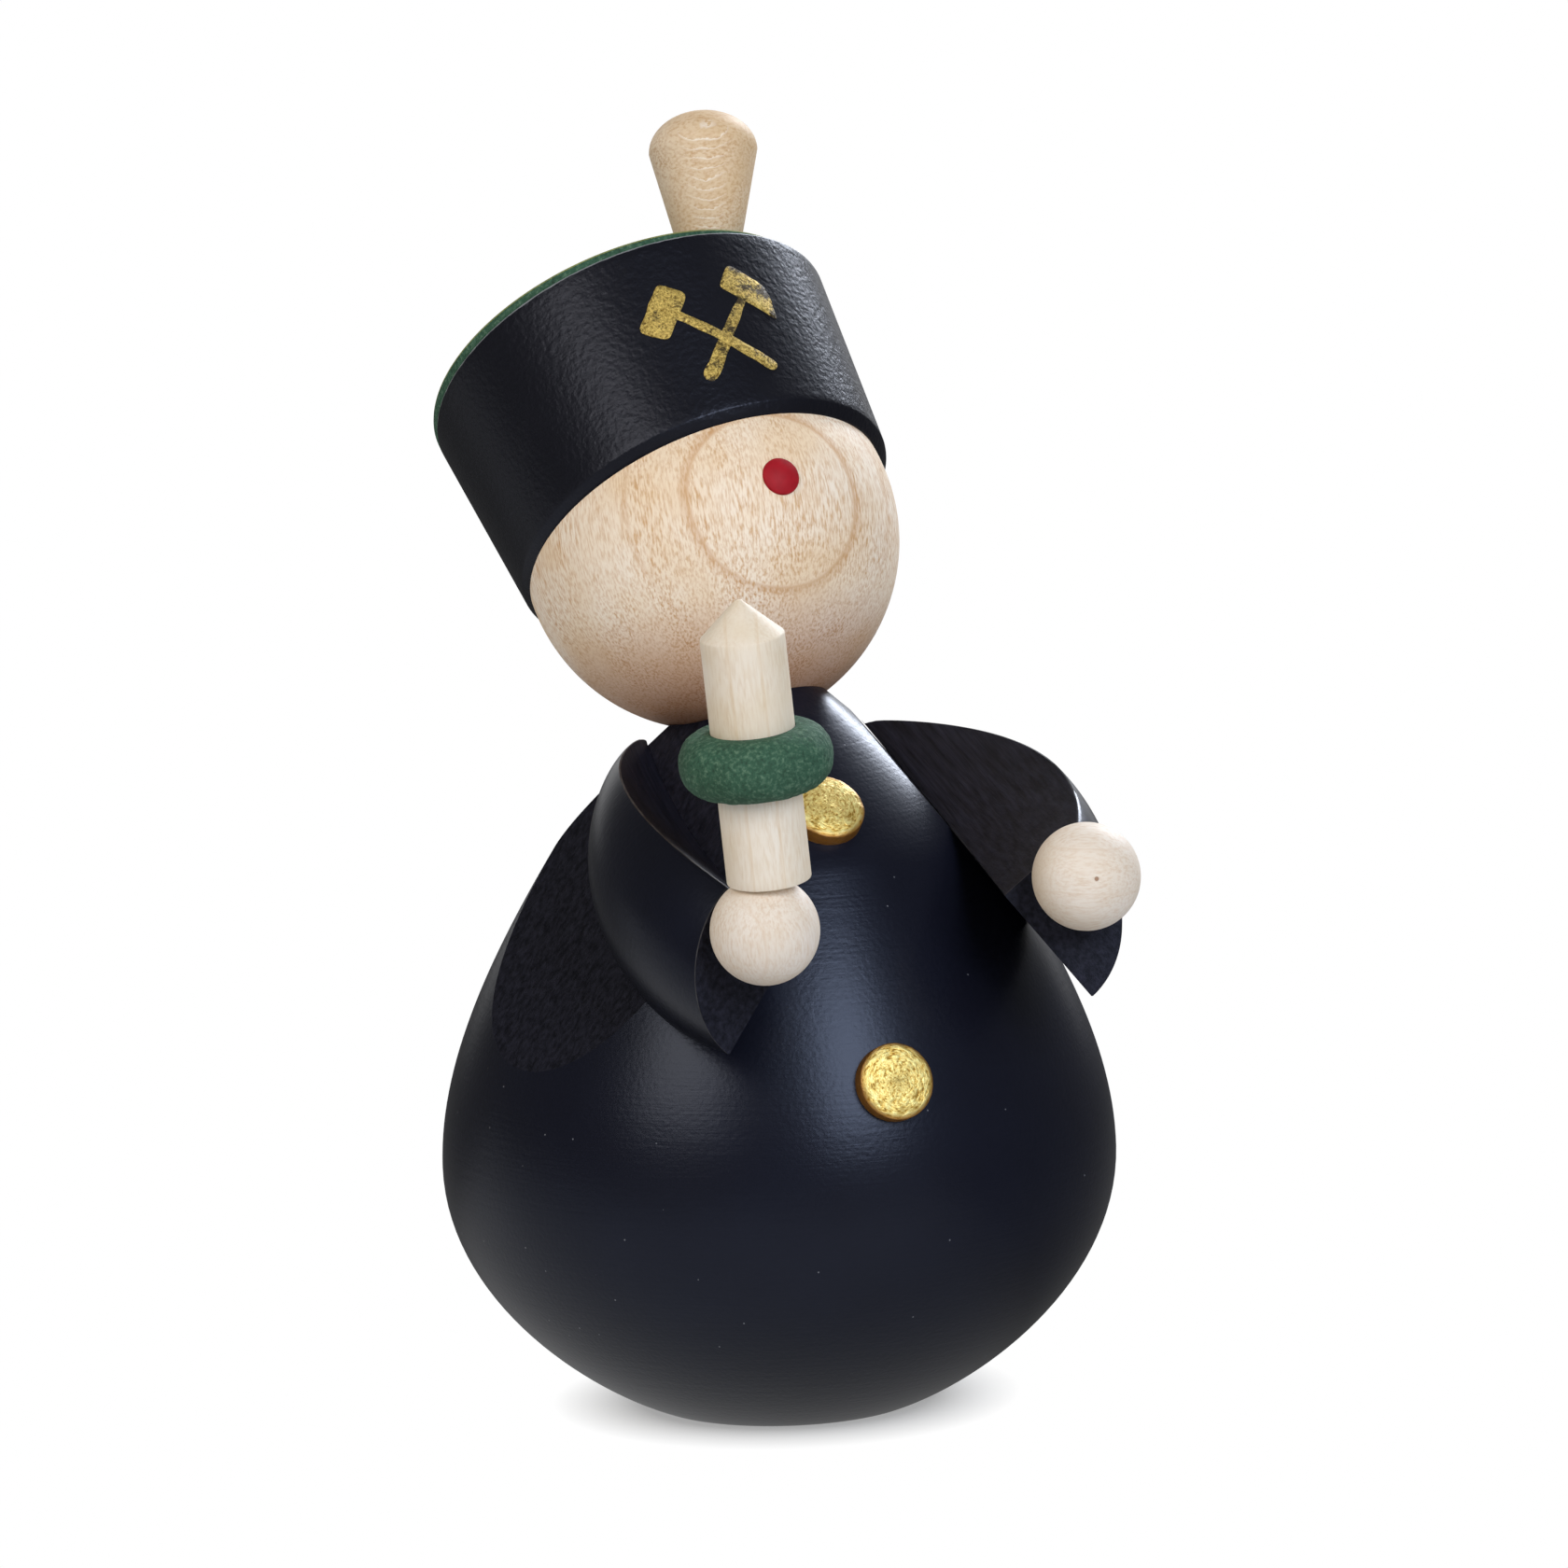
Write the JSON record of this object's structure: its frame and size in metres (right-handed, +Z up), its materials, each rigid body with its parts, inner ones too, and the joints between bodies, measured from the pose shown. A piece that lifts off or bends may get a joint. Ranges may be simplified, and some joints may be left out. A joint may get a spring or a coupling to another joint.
{
  "type": "candle miner figure",
  "caption": "Turned wooden miner figure with an egg-shaped dark coat, a plumed shako and a candle with a drip ring in its right hand; head and arms turn on dowels.",
  "frame": {"origin": "centre of the flat base that the figure stands on", "axes": "+Z up, the figure faces -Y, its left side is +X"},
  "size_m": [0.0502, 0.0646, 0.0956],
  "materials": {
    "coat_paint": "satin blue-black paint over turned wood",
    "hat_paint": "satin black paint with a fine orange-peel texture",
    "maple": "pale turned maple, clear matt varnish",
    "beech": "bare beech dowel",
    "green_stain": "green water stain, grain showing",
    "red_paint": "red gloss paint",
    "gold_paint": "brushed gold bronze paint"
  },
  "bodies": {
    "trunk": {"body": "coat_paint", "lower_button": "gold_paint", "upper_button": "gold_paint"},
    "head": {"neck_dowel": "beech", "head_ball": "maple", "nose_plug": "red_paint", "hat_crown": "hat_paint", "hat_top_disc": "green_stain", "plume": "maple"},
    "right_arm_set": {"right_arm": "coat_paint", "right_shoulder_dowel": "beech", "right_hand": "maple", "right_hand_pin": "beech", "candle": "maple", "candle_pin": "beech"},
    "left_arm_set": {"left_arm": "coat_paint", "left_shoulder_dowel": "beech", "left_hand": "maple", "left_hand_pin": "beech"},
    "ring": {"drip_ring": "green_stain"}
  },
  "joints": [
    {"name": "head_turn", "type": "hinge", "parent": "trunk", "child": "head", "pos_m": [-0.00045, 0.00152, 0.04968], "axis": [-0.0732, 0.2982, 0.9517], "continuous": true},
    {"name": "right_arm_swing", "type": "hinge", "parent": "trunk", "child": "right_arm_set", "pos_m": [-0.01026, -0.00513, 0.04105], "axis": [-0.7486, -0.2246, 0.6239], "range_deg": [-10, 40]},
    {"name": "left_arm_swing", "type": "hinge", "parent": "trunk", "child": "left_arm_set", "pos_m": [0.01121, -0.00605, 0.04198], "axis": [-0.7486, 0.2246, -0.6239], "range_deg": [-60, 30]},
    {"name": "drip_ring_slide", "type": "slide", "parent": "right_arm_set", "child": "ring", "axis": [-0.1128, -0.0797, 0.9904], "range_m": [-0.0063, 0.0069]}
  ]
}
